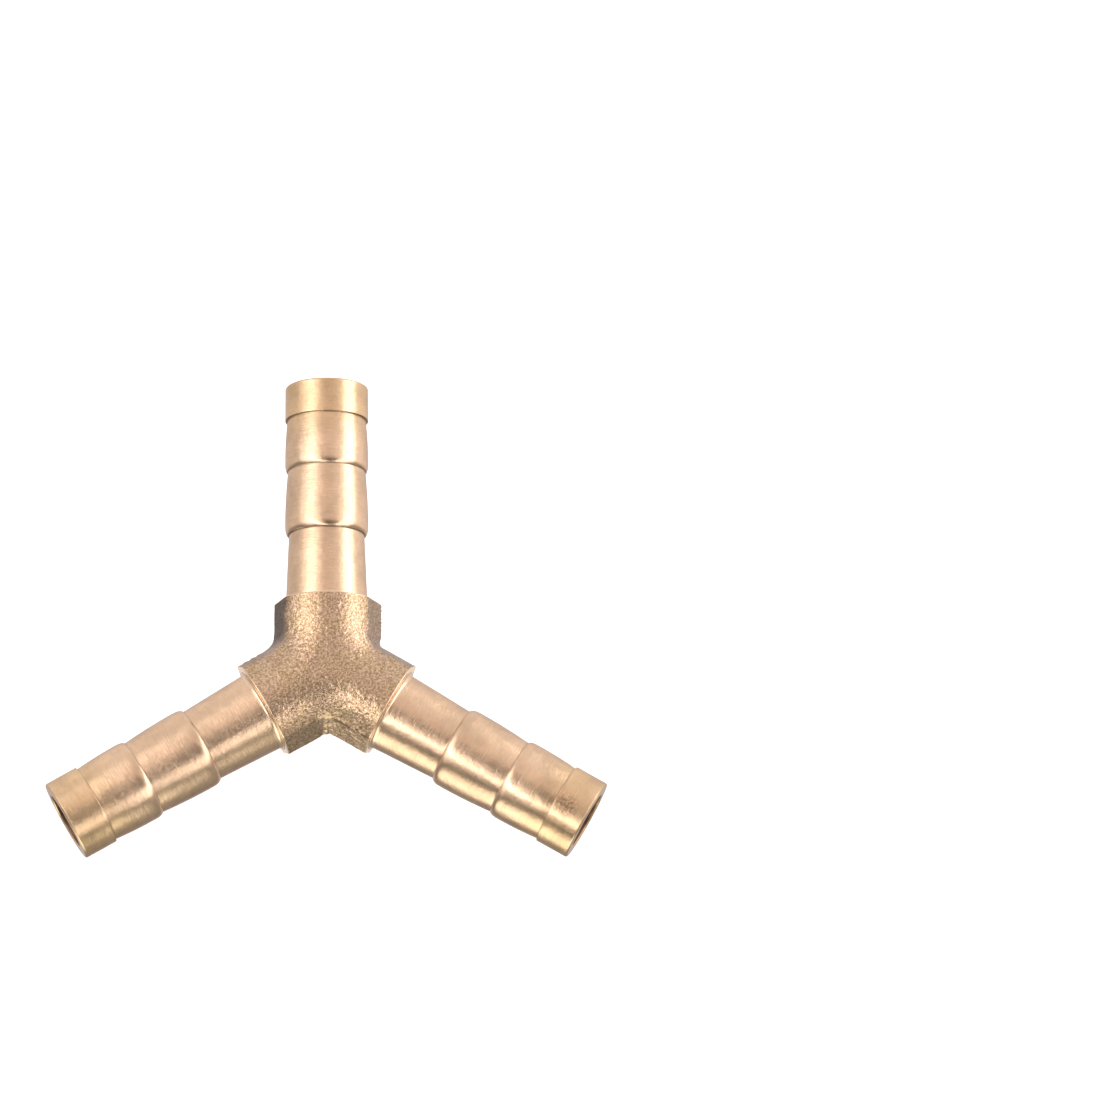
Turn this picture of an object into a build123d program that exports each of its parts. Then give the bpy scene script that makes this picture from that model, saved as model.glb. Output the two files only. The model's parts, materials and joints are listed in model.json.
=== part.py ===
"""Three-way barbed hose connector in brass: a forged hub with three turned barb stems.

Frame, in millimetres: the origin is where the three bore axes meet. The axes lie in the XY plane,
120 degrees apart, with arm a along +Y. +Z is up, and the connector rests on the hub's underside.
"""

import math
import os

from build123d import *

# Driving dimensions
CREST_DIAMETER = 8.0  # barb crests and tip collar, the size of hose that the connector is for
BORE_DIAMETER = 5.5  # clear way through each arm
HUB_DIAMETER = 10.0  # forged neck round each stem
ARM_REACH = 28.5  # junction to tip
HUB_REACH = 7.0  # junction to the faced end of each neck
ARM_HEADINGS = {"a": 90.0, "b": 210.0, "c": 330.0}  # degrees from +X

# Hub details
CROTCH_RADIUS = 1.2  # forging radius in the angle between two necks, seen from above
SOCKET_DIAMETER = 7.2  # counterbore that holds a stem's spigot
SOCKET_FLOOR = 3.3  # junction to the bottom of each socket
RIM_CHAMFER = 0.1  # edge break where a neck is faced

# Stem details: lengths are measured back from the tip, radii from the arm's axis
TIP_CHAMFER = 0.12
BORE_CHAMFER = 0.1
COLLAR_LENGTH = 3.3  # plain cylinder at the tip
BARB_ENDS = (8.43, 14.75)  # where each barb steps down to the next foot
FOOT_RADII = (3.79, 3.74, 3.63)  # foot of the first barb, the second barb and the root taper
RAMP_BULGE = 0.05  # how far a ramp swells over a straight line
SHOULDER_RADIUS = 4.0  # round at the hub end of each barb
SHOULDER_DROPS = (0.19, 0.25)  # fall of that round before the step, for each barb
ROOT_RADIUS = 3.91  # root taper where it meets the hub
SEAT_RADIUS = 4.2  # seating shoulder that stops the stem on the neck's face
SEAT_THICKNESS = 0.05
SEAT_FILLET = 0.23
SPIGOT_CHAMFER = 0.15

# Derived sizes
CREST_RADIUS = CREST_DIAMETER / 2
BORE_RADIUS = BORE_DIAMETER / 2
HUB_RADIUS = HUB_DIAMETER / 2
SOCKET_RADIUS = SOCKET_DIAMETER / 2
ROUND_RADIUS = HUB_RADIUS + CROTCH_RADIUS  # crotch centre to the neck's axis
CROTCH_DISTANCE = ROUND_RADIUS / math.sin(math.radians(60))  # junction to a crotch centre
NECK_START = ROUND_RADIUS / math.tan(math.radians(60))  # junction to where a neck turns round


def heading_vector(degrees):
    """Unit vector in the XY plane."""
    angle = math.radians(degrees)
    return Vector(math.cos(angle), math.sin(angle), 0)


def neck_plane(heading, distance):
    """Plane across an arm, with its normal along the arm and out of the hub."""
    along = heading_vector(heading)
    return Plane(origin=along * distance, z_dir=along)


def shoulder_length(drop):
    """Length over which a barb's round falls by the given drop."""
    return math.sqrt(SHOULDER_RADIUS**2 - (SHOULDER_RADIUS - drop) ** 2)


def make_hub():
    """Forged hub: three necks blended in the middle, each faced, counterbored and bored."""
    with BuildPart() as hub:
        # Middle: a triangular block, which the three crotches round off from edge to top.
        with BuildSketch():
            RegularPolygon(CROTCH_DISTANCE, 3, rotation=30)
        extrude(amount=HUB_RADIUS, both=True)
        for heading in ARM_HEADINGS.values():
            outward = heading_vector(heading + 60)
            crotch = outward * CROTCH_DISTANCE
            section = Plane(origin=crotch, x_dir=-outward, z_dir=outward.cross(Vector(0, 0, 1)))
            with BuildSketch(section):
                with Locations((ROUND_RADIUS / 2, 0)):
                    Rectangle(ROUND_RADIUS, HUB_DIAMETER + 1)
                with Locations((ROUND_RADIUS, 0)):
                    Circle(HUB_RADIUS, mode=Mode.SUBTRACT)
            revolve(axis=Axis(crotch, (0, 0, 1)), mode=Mode.SUBTRACT)

        for heading in ARM_HEADINGS.values():
            with BuildSketch(neck_plane(heading, NECK_START)):
                Circle(HUB_RADIUS)
            extrude(amount=HUB_REACH - NECK_START)
        chamfer(hub.edges().filter_by(GeomType.CIRCLE).filter_by(is_neck_rim), RIM_CHAMFER)

        for heading in ARM_HEADINGS.values():
            with Locations(neck_plane(heading, HUB_REACH)):
                CounterBoreHole(BORE_RADIUS, SOCKET_RADIUS, HUB_REACH - SOCKET_FLOOR, HUB_REACH)
    return hub.part


def is_neck_rim(edge):
    """True for the outer edge of a neck's faced end."""
    return abs(edge.arc_center.length - HUB_REACH) < 0.01


def make_stem(heading):
    """Turned stem: tip collar, two barbs, root taper, seating shoulder and spigot."""
    along = heading_vector(heading)
    collar_end = ARM_REACH - COLLAR_LENGTH
    barb_ends = [ARM_REACH - length for length in BARB_ENDS]
    seat_front = HUB_REACH + SEAT_THICKNESS
    seat_top = ROOT_RADIUS + SEAT_FILLET

    with BuildPart() as stem:
        with BuildSketch(Plane(origin=(0, 0, 0), x_dir=along, z_dir=(0, 0, 1))):
            with BuildLine():
                Polyline(
                    (SOCKET_FLOOR, BORE_RADIUS),
                    (ARM_REACH - BORE_CHAMFER, BORE_RADIUS),
                    (ARM_REACH, BORE_RADIUS + BORE_CHAMFER),
                    (ARM_REACH, CREST_RADIUS - TIP_CHAMFER),
                    (ARM_REACH - TIP_CHAMFER, CREST_RADIUS),
                    (collar_end, CREST_RADIUS),
                    (collar_end, FOOT_RADII[0]),
                )
                ramp_start = (collar_end, FOOT_RADII[0])
                for barb_end, drop, foot in zip(barb_ends, SHOULDER_DROPS, FOOT_RADII[1:]):
                    crest = (barb_end + shoulder_length(drop), CREST_RADIUS)
                    step_top = (barb_end, CREST_RADIUS - drop)
                    SagittaArc(ramp_start, crest, -RAMP_BULGE)  # minus: away from the arm's axis
                    RadiusArc(crest, step_top, -SHOULDER_RADIUS)
                    ramp_start = (barb_end, foot)
                    Line(step_top, ramp_start)
                Line(ramp_start, (seat_front + SEAT_FILLET, ROOT_RADIUS))
                RadiusArc((seat_front + SEAT_FILLET, ROOT_RADIUS), (seat_front, seat_top), SEAT_FILLET)
                Polyline(
                    (seat_front, seat_top),
                    (seat_front, SEAT_RADIUS),
                    (HUB_REACH, SEAT_RADIUS),
                    (HUB_REACH, SOCKET_RADIUS),
                    (SOCKET_FLOOR + SPIGOT_CHAMFER, SOCKET_RADIUS),
                    (SOCKET_FLOOR, SOCKET_RADIUS - SPIGOT_CHAMFER),
                    (SOCKET_FLOOR, BORE_RADIUS),
                )
            make_face()
        revolve(axis=Axis((0, 0, 0), along))
    return stem.part


def write(part, name):
    part.label = name
    export_step(part, f"parts/{name}.step")
    print(name, "volume", round(part.volume, 1), "solids", len(part.solids()), "valid", part.is_valid)


os.makedirs("parts", exist_ok=True)
write(make_hub(), "hub")
for arm, heading in ARM_HEADINGS.items():
    write(make_stem(heading), f"barb_stem_{arm}")
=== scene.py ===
"""Looks of the barbed hose connector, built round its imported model.

The frame is the part's own: the bore axes meet at the origin, the arms lie in the XY plane with arm a
along +Y, and +Z is up. Lengths are in millimetres here, and each mesh is scaled to metres when made.
"""

import json
import math

import bmesh
import bpy
import numpy as np
from mathutils import Matrix, Vector, noise


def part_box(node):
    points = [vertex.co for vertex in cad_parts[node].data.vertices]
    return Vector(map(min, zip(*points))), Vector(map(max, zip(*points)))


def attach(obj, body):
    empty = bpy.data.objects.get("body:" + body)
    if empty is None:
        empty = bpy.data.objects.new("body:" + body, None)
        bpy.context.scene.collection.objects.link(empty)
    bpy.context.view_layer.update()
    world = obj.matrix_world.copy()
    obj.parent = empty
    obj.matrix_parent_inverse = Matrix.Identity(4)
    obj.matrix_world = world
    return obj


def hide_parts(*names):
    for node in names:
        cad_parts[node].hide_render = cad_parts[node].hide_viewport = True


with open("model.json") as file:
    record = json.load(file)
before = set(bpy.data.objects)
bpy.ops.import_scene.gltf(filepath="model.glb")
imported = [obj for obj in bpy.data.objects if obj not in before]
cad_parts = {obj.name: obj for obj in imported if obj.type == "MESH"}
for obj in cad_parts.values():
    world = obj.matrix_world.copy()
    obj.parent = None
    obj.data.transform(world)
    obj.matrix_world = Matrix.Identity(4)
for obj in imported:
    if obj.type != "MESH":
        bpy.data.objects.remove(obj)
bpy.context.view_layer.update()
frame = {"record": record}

MM = 0.001

# Sizes read from the frame
MOUNTS = {mount["name"]: mount for mount in frame["record"]["mounts"]}
CREST_RADIUS = MOUNTS["hose_end_a"]["dims"]["r_mm"]
BORE_RADIUS = MOUNTS["bore_a"]["dims"]["r_mm"]
ARM_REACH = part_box("barb_stem_a")[1].y / MM
SPIGOT_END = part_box("barb_stem_a")[0].y / MM
HUB_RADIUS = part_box("hub")[1].z / MM
HUB_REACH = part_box("hub")[1].y / MM
ARM_HEADINGS = {"a": 90.0, "b": 210.0, "c": 330.0}  # degrees from +X

# Stem: places are measured from the junction of the bores, radii from the arm's axis
COLLAR_END = ARM_REACH - 3.3
COLLAR_FOOT = 3.79
BARBS = (  # end, drop of the round, foot beyond the step
    (ARM_REACH - 8.43, 0.19, 3.74),
    (ARM_REACH - 14.75, 0.25, 3.63),
)
SHOULDER_RADIUS = 4.0  # of the circle that says how far a barb's crest is from its step
RAMP_BULGE = 0.05
ROOT_RADIUS = 3.91
SEAT_RADIUS = 4.2
SEAT_THICKNESS = 0.05
SEAT_FILLET = 0.27
SOCKET_RADIUS = 3.6
SPIGOT_CHAMFER = 0.15
BORE_CHAMFER = 0.1
TIP_CHAMFER = 0.12
STEM_STEP = 0.12  # longest run between two rings of the mesh
STEM_SEGMENTS = 160

# Hub
HALF_SECTOR = math.radians(60)  # between an arm and the crotch beside it
CROTCH_RADIUS = 1.2
RIM_CHAMFER = 0.1
FACET_TILT = math.radians(38)  # the trimmed sides are flat this far above and below the parting plane
# Crotch direction, in degrees from +X: parting-line radius on the neck before and after it, then how far
# the crotch is filled at its middle, over what distance each way, the height of a narrow ridge there, and
# how rough its trimmed sides are
CROTCHES = {
    150: (5.0, 5.0, 0.11, 1.4, 0.0, 0.3),
    270: (4.92, 4.80, -0.14, 0.7, 0.12, 0.9),
    30: (5.0, 5.22, -0.10, 0.7, 0.0, 0.5),
}
# Where a change starts and ends: the first two are places round a crotch from its middle
PARTING_CHANGE = (-0.5, 0.9)
SERRATION_START = (0.9, 1.5)
FACET_FADE = (2.7, 3.2)  # heights above the parting plane
RIDGE_WIDTH = 0.14
SERRATION_HEIGHT = 0.032
SERRATION_PITCH = 0.39
SKIN_RELIEF = (  # height, how many grains to a millimetre, whether the trimmed sides have less of it
    (0.030, 0.35, False),
    (0.020, 1.3, False),
    (0.026, 2.4, True),
    (0.023, 5.0, True),
)
FADE_ROWS = 3  # rows over which the relief rises from each faced end
HALF_SEGMENTS = 176  # round half a neck
NECK_ROWS = 38
CROTCH_ROWS = 66
CENTRE_ROWS = 10
MERGE_DISTANCE = 1e-5 * MM


def point_along(heading):
    """Unit vector of an arm."""
    angle = math.radians(heading)
    return Vector((math.cos(angle), math.sin(angle), 0.0))


# Meshes


def make_object(name, points, faces, materials, face_materials):
    """Smooth-shaded mesh object from points in millimetres, with the number of each face's material."""
    mesh = bpy.data.meshes.new(name)
    mesh.from_pydata((np.asarray(points) * MM).tolist(), [], faces)
    for material in materials:
        mesh.materials.append(material)
    mesh.polygons.foreach_set("material_index", face_materials)
    mesh.polygons.foreach_set("use_smooth", [True] * len(faces))
    piece = bpy.data.objects.new(name, mesh)
    bpy.context.scene.collection.objects.link(piece)
    return piece


def rounded(corners, arc_points=4):
    """Closed outline through corners (place, radius, round), each turned by an arc of that round."""
    outline = []
    count = len(corners)
    for index, (x, r, radius) in enumerate(corners):
        corner = np.array((x, r))
        if radius == 0:
            outline.append(tuple(corner))
            continue
        before = np.array(corners[index - 1][:2]) - corner
        after = np.array(corners[(index + 1) % count][:2]) - corner
        before /= np.linalg.norm(before)
        after /= np.linalg.norm(after)
        half = math.acos(float(np.clip(before @ after, -1, 1))) / 2
        centre = corner + (before + after) / np.linalg.norm(before + after) * radius / math.sin(half)
        start = corner + before * radius / math.tan(half) - centre
        end = corner + after * radius / math.tan(half) - centre
        for step in range(arc_points + 1):
            share = step / arc_points
            angle = math.pi - 2 * half
            mix = (math.sin((1 - share) * angle) * start + math.sin(share * angle) * end) / math.sin(angle)
            outline.append(tuple(centre + mix))
    return outline


def divided(outline, step):
    """The same closed outline with no run longer than step."""
    result = []
    for index, start in enumerate(outline):
        end = outline[(index + 1) % len(outline)]
        runs = max(1, math.ceil(math.dist(start, end) / step))
        for run in range(runs):
            share = run / runs
            result.append((start[0] + (end[0] - start[0]) * share, start[1] + (end[1] - start[1]) * share))
    return result


def ramp(foot, crest, steps=24):
    """Points of a barb's ramp between its foot and crest, swollen by RAMP_BULGE in the middle."""
    points = []
    for step in range(1, steps):
        share = step / steps
        x = foot[0] + (crest[0] - foot[0]) * share
        r = foot[1] + (crest[1] - foot[1]) * share + 4 * RAMP_BULGE * share * (1 - share)
        points.append((x, r, 0))
    return points


def shoulder(crest_x, end_x, drop, steps=20):
    """Points of a barb's round from its crest to its step, tightest at the step."""
    points = []
    for step in range(steps):
        share = step / steps
        points.append((crest_x + (end_x - crest_x) * share, CREST_RADIUS - drop * share**5, 0))
    return points


def stem_outline():
    """Half-section of a stem as a closed outline of (place along the arm, radius)."""
    corners = [  # place, radius, round of the corner
        (SPIGOT_END, BORE_RADIUS, 0.03),
        (ARM_REACH - BORE_CHAMFER, BORE_RADIUS, 0.03),
        (ARM_REACH, BORE_RADIUS + BORE_CHAMFER, 0.03),
        (ARM_REACH, CREST_RADIUS - TIP_CHAMFER, 0.05),
        (ARM_REACH - TIP_CHAMFER, CREST_RADIUS, 0.08),
        (COLLAR_END, CREST_RADIUS, 0.03),
        (COLLAR_END, COLLAR_FOOT, 0.04),
    ]
    foot = (COLLAR_END, COLLAR_FOOT)
    for end, drop, next_foot in BARBS:
        crest_x = end + math.sqrt(SHOULDER_RADIUS**2 - (SHOULDER_RADIUS - drop) ** 2)
        corners += ramp(foot, (crest_x, CREST_RADIUS))
        corners += shoulder(crest_x, end, drop)
        corners += [(end, CREST_RADIUS - drop, 0.02), (end, next_foot, 0.03)]
        foot = (end, next_foot)
    seat_front = HUB_REACH + SEAT_THICKNESS
    corners += [
        (seat_front, ROOT_RADIUS, SEAT_FILLET),
        (seat_front, SEAT_RADIUS, 0.015),
        (HUB_REACH, SEAT_RADIUS, 0.015),
        (HUB_REACH, SOCKET_RADIUS, 0.02),
        (SPIGOT_END + SPIGOT_CHAMFER, SOCKET_RADIUS, 0.02),
        (SPIGOT_END, SOCKET_RADIUS - SPIGOT_CHAMFER, 0.02),
    ]
    return divided(rounded(corners), STEM_STEP)


def make_stem(arm, heading, outer_material, bore_material):
    """Lathe-turned stem, with its own Z along the arm."""
    outline = np.array(stem_outline())
    rings = len(outline)
    angles = np.linspace(0, 2 * math.pi, STEM_SEGMENTS, endpoint=False)
    points = np.zeros((rings, STEM_SEGMENTS, 3))
    points[..., 0] = outline[:, 1:] * np.cos(angles)
    points[..., 1] = outline[:, 1:] * np.sin(angles)
    points[..., 2] = outline[:, :1]
    faces, slots = [], []
    for ring in range(rings):
        following = (ring + 1) % rings
        in_bore = max(outline[ring, 1], outline[following, 1]) < BORE_RADIUS + BORE_CHAMFER / 2
        for segment in range(STEM_SEGMENTS):
            beside = (segment + 1) % STEM_SEGMENTS
            faces.append((
                ring * STEM_SEGMENTS + segment,
                following * STEM_SEGMENTS + segment,
                following * STEM_SEGMENTS + beside,
                ring * STEM_SEGMENTS + beside,
            ))
            slots.append(int(in_bore))
    name = f"turned_stem_{arm}"
    piece = make_object(name, points.reshape(-1, 3), faces, [outer_material, bore_material], slots)
    along = point_along(heading)
    up = Vector((0.0, 0.0, 1.0))
    piece.matrix_world = Matrix((up, along.cross(up), along)).transposed().to_4x4()
    return piece


def grid_faces(rows, columns, start):
    """Quads of a grid of points numbered row by row from start."""
    faces = []
    for row in range(rows - 1):
        for column in range(columns - 1):
            corner = start + row * columns + column
            faces.append((corner, corner + 1, corner + columns + 1, corner + columns))
    return faces


def sector_stations():
    """Stations round one crotch, from neck to neck: axis points, and directions towards the crotch.

    They are in a frame whose +X is the crotch's direction, with the arms at 60 degrees each side of it.
    """
    round_radius = HUB_RADIUS + CROTCH_RADIUS
    sine, cosine = math.sin(HALF_SECTOR), math.cos(HALF_SECTOR)
    crotch = np.array((round_radius / sine, 0.0))
    neck_start = round_radius * cosine / sine
    neck_places = np.linspace(HUB_REACH - RIM_CHAMFER, neck_start, NECK_ROWS, endpoint=False)
    axis_points, towards = [], []
    for place in neck_places:
        axis_points.append((place * cosine, -place * sine))
        towards.append((sine, cosine))
    turn_end = math.pi / 2 - HALF_SECTOR
    for angle in np.linspace(turn_end, -turn_end, CROTCH_ROWS + 1):
        direction = np.array((math.cos(angle), math.sin(angle)))
        axis_points.append(tuple(crotch - round_radius * direction))
        towards.append(tuple(direction))
    for place in neck_places[::-1]:
        axis_points.append((place * cosine, place * sine))
        towards.append((sine, -cosine))
    return np.array(axis_points), np.array(towards)


def turned(points, degrees):
    """Points turned about +Z."""
    angle = math.radians(degrees)
    cosine, sine = math.cos(angle), math.sin(angle)
    turn = np.array(((cosine, -sine, 0), (sine, cosine, 0), (0, 0, 1)))
    return points @ turn.T


def smooth_step(value, start, end):
    """0 before start and 1 after end, smooth between them."""
    share = np.clip((value - start) / (end - start), 0, 1)
    return share * share * (3 - 2 * share)


def facet_radius(vertex_radius, tilt):
    """Radius of a neck's section at a tilt from the parting plane, flat from its vertex to FACET_TILT."""
    tilt = np.abs(tilt)
    end_x = HUB_RADIUS * math.cos(FACET_TILT)
    end_z = HUB_RADIUS * math.sin(FACET_TILT)
    flat = vertex_radius * end_z / (end_z * np.cos(tilt) + (vertex_radius - end_x) * np.sin(tilt))
    return np.where(tilt < FACET_TILT, flat, HUB_RADIUS)


def skin_relief(point, roughness, serration):
    """Height of the blasted forging skin at a point, in millimetres."""
    place = Vector(point)
    relief = 0.0
    for height, frequency, smoothed in SKIN_RELIEF:
        relief += height * (roughness if smoothed else 1.0) * noise.noise(place * frequency)
    wave = math.sin(2 * math.pi * point[1] / SERRATION_PITCH + noise.noise(place * 0.8))
    return relief + SERRATION_HEIGHT * serration * wave


def skin_strip(axis_points, towards, crotch_shape):
    """Skin round one crotch, as grids of its points, their outward directions and what relief they have.

    The relief's three values are how much there is, how rough it is and how serrated it is.
    """
    before, after, fill, spread, ridge, trimmed = crotch_shape
    stations = len(axis_points)
    tilt = np.radians(np.linspace(-90, 90, HALF_SEGMENTS + 1))
    normal = np.zeros((stations, HALF_SEGMENTS + 1, 3))
    normal[..., :2] = towards[:, None, :] * np.cos(tilt)[None, :, None]
    normal[..., 2] = np.sin(tilt)
    outline = axis_points + HUB_RADIUS * towards
    travelled = np.concatenate(([0.0], np.cumsum(np.linalg.norm(np.diff(outline, axis=0), axis=1))))
    travelled -= travelled[-1] / 2

    vertex_radius = before + (after - before) * smooth_step(travelled, *PARTING_CHANGE)
    vertex_radius += fill * np.clip(1 - (travelled / spread) ** 2, 0, 1) ** 2
    vertex_radius += ridge * np.exp(-((travelled / RIDGE_WIDTH) ** 2))
    strip = normal * facet_radius(vertex_radius[:, None], tilt[None, :])[..., None]
    strip[..., :2] += axis_points[:, None, :]

    facet = 1 - smooth_step(np.abs(strip[..., 2]), *FACET_FADE)
    serrated = facet * smooth_step(travelled, *SERRATION_START)[:, None] * (after > HUB_RADIUS)
    nearest_end = np.minimum(np.arange(stations), np.arange(stations)[::-1])
    amount = np.broadcast_to(np.clip(nearest_end / FADE_ROWS, 0, 1)[:, None], facet.shape)
    return strip, normal, np.stack((amount, 1 - (1 - trimmed) * facet, serrated), -1)


def centre_patch(arc, side):
    """Flat patch between the junction and a crotch's arc of axis points, on one side, and its direction."""
    shares = np.linspace(0, 1, CENTRE_ROWS + 1)
    patch = np.zeros((CENTRE_ROWS + 1, len(arc), 3))
    patch[..., :2] = shares[:, None, None] * arc[None]
    patch[..., 2] = side * HUB_RADIUS
    direction = np.zeros_like(patch)
    direction[..., 2] = side
    return patch, direction


def faced_end(heading):
    """Grid of points of an arm's faced end, socket and bore, turned about the arm's own axis."""
    angles = np.radians(np.linspace(-90, 270, 2 * HALF_SEGMENTS + 1))
    meeting = BORE_RADIUS * np.abs(np.cos(angles)) / math.tan(HALF_SECTOR)
    ahead = CROTCHES[int(heading + 60) % 360][0]
    behind = CROTCHES[int(heading - 60) % 360][1]
    own_tilt = np.where(np.cos(angles) > 0, angles, math.pi - angles)
    rim = facet_radius(np.where(np.cos(angles) > 0, ahead, behind), own_tilt)
    rows = [(HUB_REACH - RIM_CHAMFER, rim)]
    for angle in np.radians((22.5, 45, 67.5, 90)):
        rows.append((
            HUB_REACH - RIM_CHAMFER * (1 - math.sin(angle)),
            rim - RIM_CHAMFER * (1 - math.cos(angle)),
        ))
    face_rim = rows[-1][1]
    quarters = np.linspace(0, 1, 5)[1:]
    rows += [(HUB_REACH, face_rim + share * (SOCKET_RADIUS - face_rim)) for share in quarters]
    rows += [(place, SOCKET_RADIUS) for place in np.linspace(HUB_REACH, SPIGOT_END, 3)[1:]]
    rows += [(SPIGOT_END, radius) for radius in np.linspace(SOCKET_RADIUS, BORE_RADIUS, 3)[1:]]
    rows += [(SPIGOT_END + (meeting - SPIGOT_END) * share, BORE_RADIUS) for share in quarters]
    along = np.array(point_along(heading))
    aside = np.array(point_along(heading + 90))
    around = np.cos(angles)[:, None] * aside + np.sin(angles)[:, None] * np.array((0, 0, 1.0))
    return np.stack([
        np.broadcast_to(place, angles.shape)[:, None] * along
        + np.broadcast_to(radius, angles.shape)[:, None] * around
        for place, radius in rows
    ])


def make_hub(skin_material, faced_material):
    """Forged hub: blasted skin round three necks, each with a faced end, a socket and a bore."""
    points, normals, skins, faces, slots = [], [], [], [], []

    def add_grid(grid, direction, material, skin):
        """Adds a grid of points with their outward directions, their material and their relief."""
        rows, columns = grid.shape[:2]
        new_faces = grid_faces(rows, columns, len(points))
        points.extend(grid.reshape(-1, 3))
        normals.extend(direction.reshape(-1, 3))
        skins.extend(np.broadcast_to(skin, (rows, columns, 3)).reshape(-1, 3))
        faces.extend(new_faces)
        slots.extend([material] * len(new_faces))

    axis_points, towards = sector_stations()
    for crotch, crotch_shape in CROTCHES.items():
        strip, normal, skin = skin_strip(axis_points, towards, crotch_shape)
        add_grid(turned(strip, crotch), turned(normal, crotch), 0, skin)
        for side in (1, -1):
            patch, direction = centre_patch(axis_points[NECK_ROWS:-NECK_ROWS], side)
            add_grid(turned(patch, crotch), direction, 0, (1.0, 1.0, 0.0))
    for heading in ARM_HEADINGS.values():
        end = faced_end(heading)
        add_grid(end, np.zeros_like(end), 1, 0.0)

    points, normals, skins = np.array(points), np.array(normals), np.array(skins)
    for index in np.flatnonzero(skins[:, 0] > 0):
        amount, roughness, serration = skins[index]
        points[index] += normals[index] * amount * skin_relief(points[index], roughness, serration)
    hub = make_object("forged_hub", points, faces, [skin_material, faced_material], slots)
    shape = bmesh.new()
    shape.from_mesh(hub.data)
    bmesh.ops.remove_doubles(shape, verts=shape.verts, dist=MERGE_DISTANCE)
    bmesh.ops.recalc_face_normals(shape, faces=shape.faces)
    shape.to_mesh(hub.data)
    shape.free()
    return hub


# Materials

EDGE_TINT = (0.66, 0.66, 0.70, 1)  # brass seen at a glancing angle
TURNED_ROUGHNESS = 0.28
TURNED_MARKS = 0.032  # depth of the turning marks
BORE_ROUGHNESS = 0.36
BORE_MARKS = 0.02
# The bores' brass is painted dark brown, as painted shade inside them
BORE_SHADE = (0.38, 0.21, 0.11)
# Painted shade in each stem's steps, darkest on arm a
STEP_SHADES = {"a": (0.48, 0.33, 0.23), "b": (0.62, 0.42, 0.28), "c": (0.62, 0.42, 0.28)}
STAINS = {"c": (3.9, 0.6, 26.3)}  # middle of a brown stain, on the stem
STAIN_TINT = (0.36, 0.20, 0.125, 1)
STAIN_RADII = (1.4, 0.7)  # it starts at the first and is full inside the second
WHITE = (1, 1, 1, 1)


def new_material(name):
    """New material, with its node tree and its shader."""
    material = bpy.data.materials.new(name)
    material.use_nodes = True
    tree = material.node_tree
    return material, tree, tree.nodes["Principled BSDF"]


def add_node(tree, kind, inputs=None, **settings):
    """Node of a kind, with its settings and its inputs as values or as links from other sockets."""
    node = tree.nodes.new(kind)
    for key, value in settings.items():
        setattr(node, key, value)
    for key, value in (inputs or {}).items():
        if isinstance(value, bpy.types.NodeSocket):
            tree.links.new(value, node.inputs[key])
        else:
            node.inputs[key].default_value = value
    return node


def own_place(tree):
    """A point's place in the piece's own frame, whole and as its X, Y and Z."""
    place = add_node(tree, "ShaderNodeTexCoord").outputs["Object"]
    return place, *add_node(tree, "ShaderNodeSeparateXYZ", {0: place}).outputs


def noise_at(tree, place, scale, detail, roughness=0.5):
    """Noise with scale features to a metre."""
    inputs = {"Vector": place, "Scale": scale, "Detail": detail, "Roughness": roughness}
    return add_node(tree, "ShaderNodeTexNoise", inputs).outputs["Fac"]


def map_range(tree, value, start, end, low=0.0, high=1.0, interpolation="LINEAR"):
    """From low where the value is at start to high where it is at end, and no further."""
    inputs = {"Value": value, "From Min": start, "From Max": end, "To Min": low, "To Max": high}
    return add_node(tree, "ShaderNodeMapRange", inputs, interpolation_type=interpolation).outputs[0]


def calculate(tree, operation, *values):
    """Result of an operation on values."""
    return add_node(tree, "ShaderNodeMath", dict(enumerate(values)), operation=operation).outputs[0]


def vector_value(tree, operation, first, second):
    """Number that an operation makes from two vectors."""
    node = add_node(tree, "ShaderNodeVectorMath", {0: first, 1: second}, operation=operation)
    return node.outputs["Value"]


def mix_colours(tree, share, first, second, blend="MIX"):
    """The first colour with a share of the second."""
    inputs = {0: share, 6: first, 7: second}
    return add_node(tree, "ShaderNodeMix", inputs, data_type="RGBA", blend_type=blend).outputs[2]


def bump(tree, height, depth, **inputs):
    """Normal bent by a height, whose full depth is in millimetres."""
    inputs = {"Height": height, "Distance": depth * MM, **inputs}
    return add_node(tree, "ShaderNodeBump", inputs).outputs["Normal"]


def finish_brass(tree, shader, colour, normal, roughness):
    """Metal shader of a colour, normal and roughness."""
    tree.links.new(colour, shader.inputs["Base Color"])
    tree.links.new(normal, shader.inputs["Normal"])
    shader.inputs["Metallic"].default_value = 1.0
    shader.inputs["Roughness"].default_value = roughness


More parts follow.
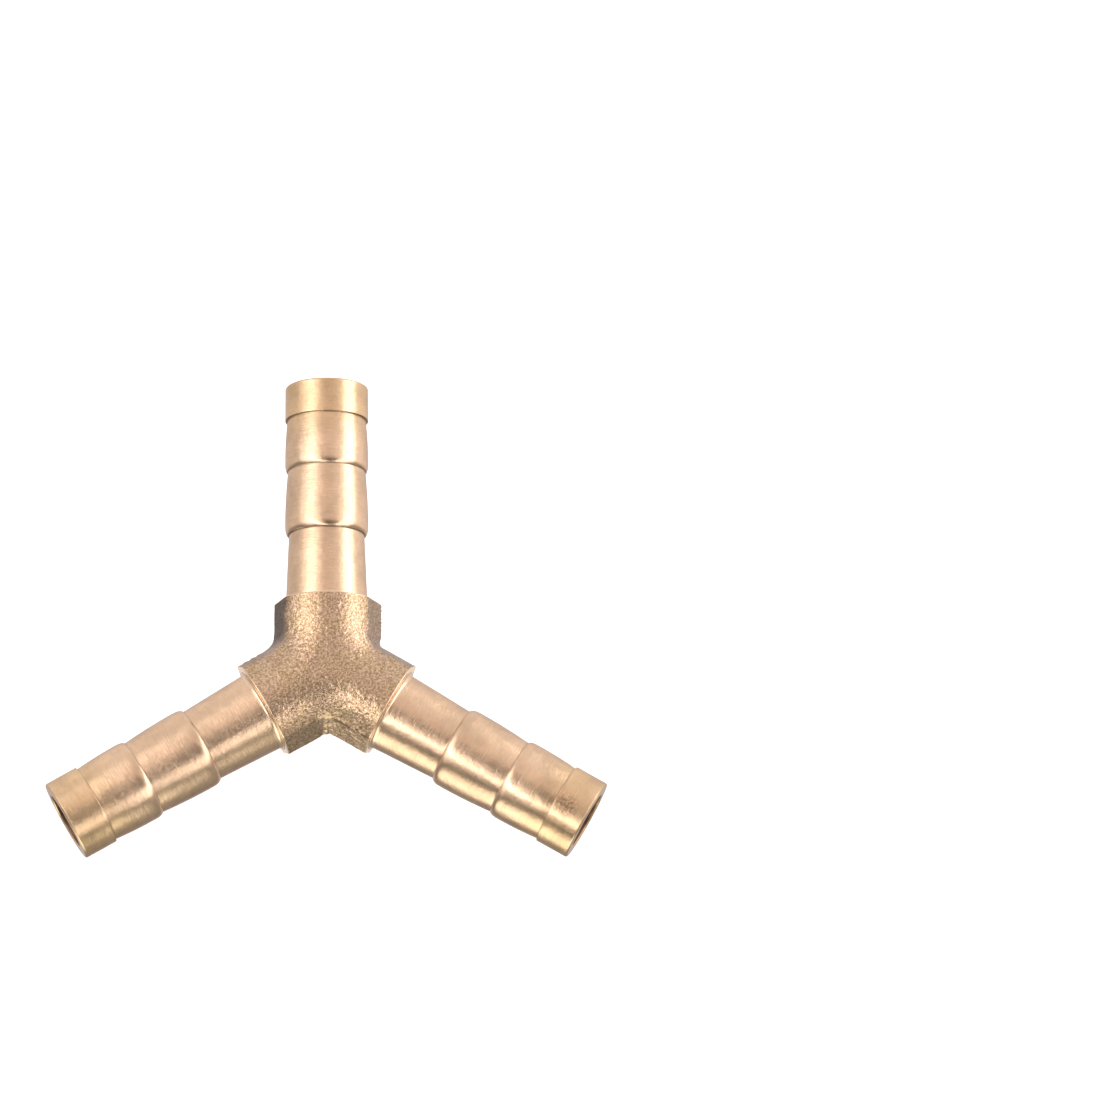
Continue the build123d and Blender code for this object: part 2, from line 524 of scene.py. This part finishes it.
def turned_brass(name, tints, roughness, mark_depth, stain=None):
    """Lathe-turned brass on a stem, whose own Z runs along the arm; tints are (place, colour) along it.

    A colour's fourth value is how deep the turning marks are there, 1 if it has none. A stain is the place
    of its middle on the stem, in millimetres.
    """
    material, tree, shader = new_material(name)
    place, _, _, along = own_place(tree)
    tint = add_node(
        tree, "ShaderNodeValToRGB", {"Fac": map_range(tree, along, SPIGOT_END * MM, ARM_REACH * MM)}
    )
    stops = tint.color_ramp.elements
    for index, (stop_place, colour) in enumerate(tints):
        share = (stop_place - SPIGOT_END) / (ARM_REACH - SPIGOT_END)
        stop = stops[index] if index < 2 else stops.new(share)
        stop.position = share
        stop.color = (*colour, 1)[:4]
    cloud = noise_at(tree, place, scale=420.0, detail=8.0, roughness=0.62)
    rubbed = map_range(tree, cloud, 0.36, 0.64, 1.07, 0.87)
    # Marks run round the stem, so they are drawn out round it and fine along it.
    drawn = add_node(tree, "ShaderNodeVectorMath", {0: place, 1: (0.11, 0.11, 1.0)}, operation="MULTIPLY")
    marks = noise_at(tree, drawn.outputs[0], scale=7500.0, detail=3.0, roughness=0.7)
    streak = map_range(tree, marks, 0.3, 0.7, 0.93, 1.07)
    tone = calculate(tree, "MULTIPLY", rubbed, streak)
    shade = mix_colours(tree, 1.0, tint.outputs["Color"], tone, "MULTIPLY")
    if stain:
        offset = vector_value(tree, "DISTANCE", place, [value * MM for value in stain])
        near = map_range(tree, offset, *(radius * MM for radius in STAIN_RADII))
        edges = noise_at(tree, place, scale=4200.0, detail=3.0, roughness=0.7)
        broken = map_range(tree, edges, 0.42, 0.56, high=0.75)
        shade = mix_colours(tree, calculate(tree, "MULTIPLY", near, broken), shade, STAIN_TINT)
    scored = bump(tree, marks, mark_depth, Strength=tint.outputs["Alpha"])
    waves = noise_at(tree, place, scale=1300.0, detail=2.0)
    normal = bump(tree, waves, mark_depth * 0.7, Normal=scored)
    finish_brass(tree, shader, shade, normal, roughness)
    shader.inputs["Specular Tint"].default_value = EDGE_TINT
    return material


def outer_tints(step_shade):
    """Tints along a stem: a pale root ring and tip edge as painted highlight, pinker tapers, yellower
    collar, painted shade in the steps.

    The tapers are rubbed smooth where they start at each barb.
    """
    # The root's seat ring and the tip's edge are painted paler, as a painted highlight
    pale_highlight, taper = (0.90, 0.67, 0.47), (0.82, 0.555, 0.368)
    rubbed = (*taper, 0.25)
    collar, end_face = (0.80, 0.535, 0.318), (0.66, 0.43, 0.25)
    tints = [(SPIGOT_END, pale_highlight), (ARM_REACH, end_face)]
    tints += [(HUB_REACH + 0.3, pale_highlight), (HUB_REACH + 0.45, taper)]
    for end, _, _ in BARBS[::-1]:
        # each step is painted darker, as painted shade
        tints += [(end - 0.10, taper), (end - 0.03, step_shade), (end + 0.01, step_shade), (end + 0.03, rubbed)]
        tints += [(end + 0.7, rubbed), (end + 1.1, taper)]
    # the collar's step is painted darker too, as painted shade
    tints += [(COLLAR_END - 3.0, taper), (COLLAR_END - 0.16, collar), (COLLAR_END - 0.05, step_shade)]
    tints += [(COLLAR_END + 0.01, step_shade), (COLLAR_END + 0.04, collar)]
    tints += [(ARM_REACH - 0.1, collar), (ARM_REACH - 0.05, pale_highlight), (ARM_REACH - 0.01, end_face)]
    return tints


def faced_brass():
    """Bright machined ends of the hub."""
    material, tree, shader = new_material("faced_brass")
    place = own_place(tree)[0]
    pale, deep = (0.88, 0.66, 0.46, 1), (0.80, 0.56, 0.38, 1)
    tint = mix_colours(tree, noise_at(tree, place, scale=900.0, detail=4.0), pale, deep)
    normal = bump(tree, noise_at(tree, place, scale=5000.0, detail=2.0), depth=0.01)
    finish_brass(tree, shader, tint, normal, roughness=0.3)
    return material


def forged_brass():
    """Dull, blasted skin: a fine sparkling grain, yellow and pink patches, painted shade on the trimmed
    sides and along the lower right neck's edge.
    """
    material, tree, shader = new_material("forged_brass")
    place, x, y, z = own_place(tree)
    pink, yellow, pit = (0.74, 0.515, 0.375, 1), (0.73, 0.525, 0.345, 1), (0.42, 0.26, 0.14, 1)
    grain = noise_at(tree, place, scale=5200.0, detail=1.0, roughness=0.65)
    patches = noise_at(tree, place, scale=520.0, detail=2.0)
    worn = mix_colours(tree, map_range(tree, patches, 0.40, 0.60), pink, yellow)
    tint = mix_colours(tree, map_range(tree, grain, 0.38, 0.62), pit, worn)

    # Painted shade along the edge of the lower right neck's trimmed side
    height = calculate(tree, "ABSOLUTE", z)
    edge_shade = map_range(tree, noise_at(tree, place, scale=2600.0, detail=1.0), 0.46, 0.54)
    for value, start, end in ((height, 2.4, 2.9), (height, 3.6, 3.1), (x, 0.2, 0.8), (y, -3.6, -4.2)):
        edge_shade = calculate(tree, "MULTIPLY", edge_shade, map_range(tree, value, start * MM, end * MM))
    tint = mix_colours(tree, edge_shade, tint, (0.21, 0.13, 0.09, 1))

    # The trimmed sides are painted darker and greyer, as painted shade and a painted reflection of the pale
    # studio, more towards the top and most on the top neck's left.
    lower_side_shade, upper_side_shade = (0.96, 0.98, 1.0, 1), (0.79, 0.83, 0.92, 1)
    top_left_shade = (0.29, 0.30, 0.32, 1)
    trimmed = mix_colours(tree, map_range(tree, y, -2 * MM, 1 * MM), lower_side_shade, upper_side_shade)
    left = map_range(tree, x, -1 * MM, -3 * MM)
    top = map_range(tree, y, 2.2 * MM, 3.6 * MM)
    trimmed = mix_colours(tree, calculate(tree, "MULTIPLY", left, top), trimmed, top_left_shade)
    wandering_height = calculate(tree, "MULTIPLY_ADD", patches, 1.6 * MM, height)
    facet = map_range(tree, wandering_height, 3.4 * MM, 4.3 * MM, 1.0, 0.0)
    shade = mix_colours(tree, 1.0, tint, mix_colours(tree, facet, WHITE, trimmed), "MULTIPLY")

    finish_brass(tree, shader, shade, bump(tree, grain, depth=0.036), roughness=0.36)
    shader.inputs["Specular Tint"].default_value = EDGE_TINT
    return material


def floor_paint():
    """Matt, nearly white paint with a glow of its own, so that the floor stays pale under any light."""
    material, _, shader = new_material("floor_paint")
    shader.inputs["Base Color"].default_value = (0.9, 0.9, 0.9, 1)
    shader.inputs["Roughness"].default_value = 0.8
    shader.inputs["Emission Color"].default_value = WHITE
    shader.inputs["Emission Strength"].default_value = 0.75
    return material


# Scene: directions are unit vectors from the connector, and lengths here are in metres

FLOOR_HALF = 2.0
FLOOR_GAP = 0.05 * MM  # more than the highest grain of the hub's skin
CAMERA_ELEVATION, CAMERA_TURN, CAMERA_ROLL = 75.8, -0.1, 0.1  # degrees
CAMERA_DISTANCE = 0.5717
CAMERA_ASIDE, CAMERA_ABOVE = 0.02131, 0.01194  # how far right of the connector and above it the camera aims
CAMERA_LENS, CAMERA_SENSOR = 196.1, 36.0  # millimetres
SOFTBOXES = (  # name, direction, direction of its length, width and length, radiance
    ("softbox_left", (-0.694, -0.038, 0.719), (0.278, -0.935, 0.219), (0.97, 1.44), 1.15),
    ("softbox_left_strip", (-0.456, -0.382, 0.804), (0.605, -0.795, -0.035), (0.196, 1.63), 3.4),
    ("softbox_right", (0.862, -0.030, 0.506), (0.213, 0.927, -0.308), (0.6, 2.58), 2.1),
)


def add_floor():
    """Pale floor under the connector, hidden from its reflections."""
    mesh = bpy.data.meshes.new("floor")
    z = -HUB_RADIUS * MM - FLOOR_GAP
    corners = [(x * FLOOR_HALF, y * FLOOR_HALF, z) for x, y in ((-1, -1), (1, -1), (1, 1), (-1, 1))]
    mesh.from_pydata(corners, [], [(0, 1, 2, 3)])
    mesh.materials.append(floor_paint())
    floor = bpy.data.objects.new("floor", mesh)
    floor.visible_glossy = False
    bpy.context.scene.collection.objects.link(floor)


def add_camera():
    """Camera above and in front of the connector, which sits low and left in its view."""
    elevation, turn, roll = (math.radians(angle) for angle in (CAMERA_ELEVATION, CAMERA_TURN, CAMERA_ROLL))
    backwards = Vector((
        math.sin(turn) * math.cos(elevation), -math.cos(turn) * math.cos(elevation), math.sin(elevation)
    ))
    place = backwards * CAMERA_DISTANCE
    level = Vector((math.cos(turn), math.sin(turn), 0.0))
    right = math.cos(roll) * level + math.sin(roll) * backwards.cross(level)
    aim = right * CAMERA_ASIDE + backwards.cross(right) * CAMERA_ABOVE
    backwards = (place - aim).normalized()
    right = (right - backwards * right.dot(backwards)).normalized()
    camera_data = bpy.data.cameras.new("camera")
    camera_data.lens = CAMERA_LENS
    camera_data.sensor_width = CAMERA_SENSOR
    camera_data.clip_start = 0.01
    camera = bpy.data.objects.new("camera", camera_data)
    rotation = Matrix((right, backwards.cross(right), backwards)).transposed()
    camera.matrix_world = Matrix.Translation(place) @ rotation.to_4x4()
    bpy.context.scene.collection.objects.link(camera)
    bpy.context.scene.camera = camera


def add_softbox(name, direction, long_side, size, radiance):
    """Area light one metre from the connector and facing it, with its length along long_side."""
    light = bpy.data.lights.new(name, "AREA")
    light.shape = "RECTANGLE"
    light.size, light.size_y = size
    light.energy = radiance * math.pi * size[0] * size[1]
    outward = Vector(direction).normalized()
    across = Vector(long_side).cross(outward).normalized()
    box = bpy.data.objects.new(name, light)
    rotation = Matrix((across, outward.cross(across), outward)).transposed()
    box.matrix_world = Matrix.Translation(outward) @ rotation.to_4x4()
    bpy.context.scene.collection.objects.link(box)


def add_world():
    """Plain studio: brighter at the back than at the front, with a dark high front and a bright low one."""
    world = bpy.data.worlds.new("studio")
    world.use_nodes = True
    tree = world.node_tree
    background = tree.nodes["Background"]
    direction = add_node(tree, "ShaderNodeTexCoord").outputs["Generated"]
    x, y, z = add_node(tree, "ShaderNodeSeparateXYZ", {0: direction}).outputs
    high_front = vector_value(tree, "DOT_PRODUCT", direction, (-0.084, -0.635, 0.768))
    strength = 1.0
    for value, start, end, low, high in (
        (y, -0.3, 0.04, 0.33, 0.88),  # darker front
        (x, -0.73, -0.57, 0.76, 1.0),  # darker far left
        (x, 0.6, 1.3, 1.0, 1.08),  # brighter far right
        (z, -0.2, 0.31, 1.13, 1.0),  # brighter below
        (high_front, 0.56, 0.90, 1.0, 0.2),  # dark high front
    ):
        shade = map_range(tree, value, start, end, low, high, "SMOOTHSTEP")
        strength = calculate(tree, "MULTIPLY", strength, shade)

    # The bright low front is an oval patch, whose half-axes are one over the lengths of these two vectors.
    squares = []
    for axis in ((1.594, -0.387, 0.296), (0.543, 0.455, -2.334)):
        offset = vector_value(tree, "DOT_PRODUCT", direction, axis)
        squares.append(calculate(tree, "POWER", offset, 2.0))
    spread = calculate(tree, "ADD", *squares)
    patch = map_range(tree, spread, 0.75, 1.3, 1.75, 0.0, "SMOOTHSTEP")
    ahead = vector_value(tree, "DOT_PRODUCT", direction, (-0.189, -0.955, -0.230))
    patch = calculate(tree, "MULTIPLY", patch, calculate(tree, "GREATER_THAN", ahead, 0.0))
    tree.links.new(calculate(tree, "ADD", strength, patch), background.inputs["Strength"])

    # The ceiling is a little darker and pinker than the walls, and the low front a little yellower.
    above = vector_value(tree, "DOT_PRODUCT", direction, (0.0, 0.245, 0.970))
    colour = mix_colours(tree, map_range(tree, above, 0.80, 0.98), WHITE, (0.93, 0.845, 0.81, 1))
    colour = mix_colours(tree, map_range(tree, y, -0.3, -0.8), colour, (1, 1.035, 0.93, 1))
    tree.links.new(colour, background.inputs["Color"])
    bpy.context.scene.world = world


add_camera()
add_world()
add_floor()
for softbox in SOFTBOXES:
    add_softbox(*softbox)
bpy.context.scene.view_settings.view_transform = "Standard"

hub = make_hub(forged_brass(), faced_brass())
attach(hub, "root")
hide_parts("hub")
# dark brown all along the bore: painted shade
bore_shade_tints = [(SPIGOT_END, BORE_SHADE), (ARM_REACH, BORE_SHADE)]
bore_brass = turned_brass("drilled_brass", bore_shade_tints, BORE_ROUGHNESS, BORE_MARKS)
for arm, heading in ARM_HEADINGS.items():
    outer_brass = turned_brass(
        f"turned_brass_{arm}", outer_tints(STEP_SHADES[arm]), TURNED_ROUGHNESS, TURNED_MARKS, STAINS.get(arm)
    )
    stem = make_stem(arm, heading, outer_brass, bore_brass)
    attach(stem, "root")
    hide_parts(f"barb_stem_{arm}")
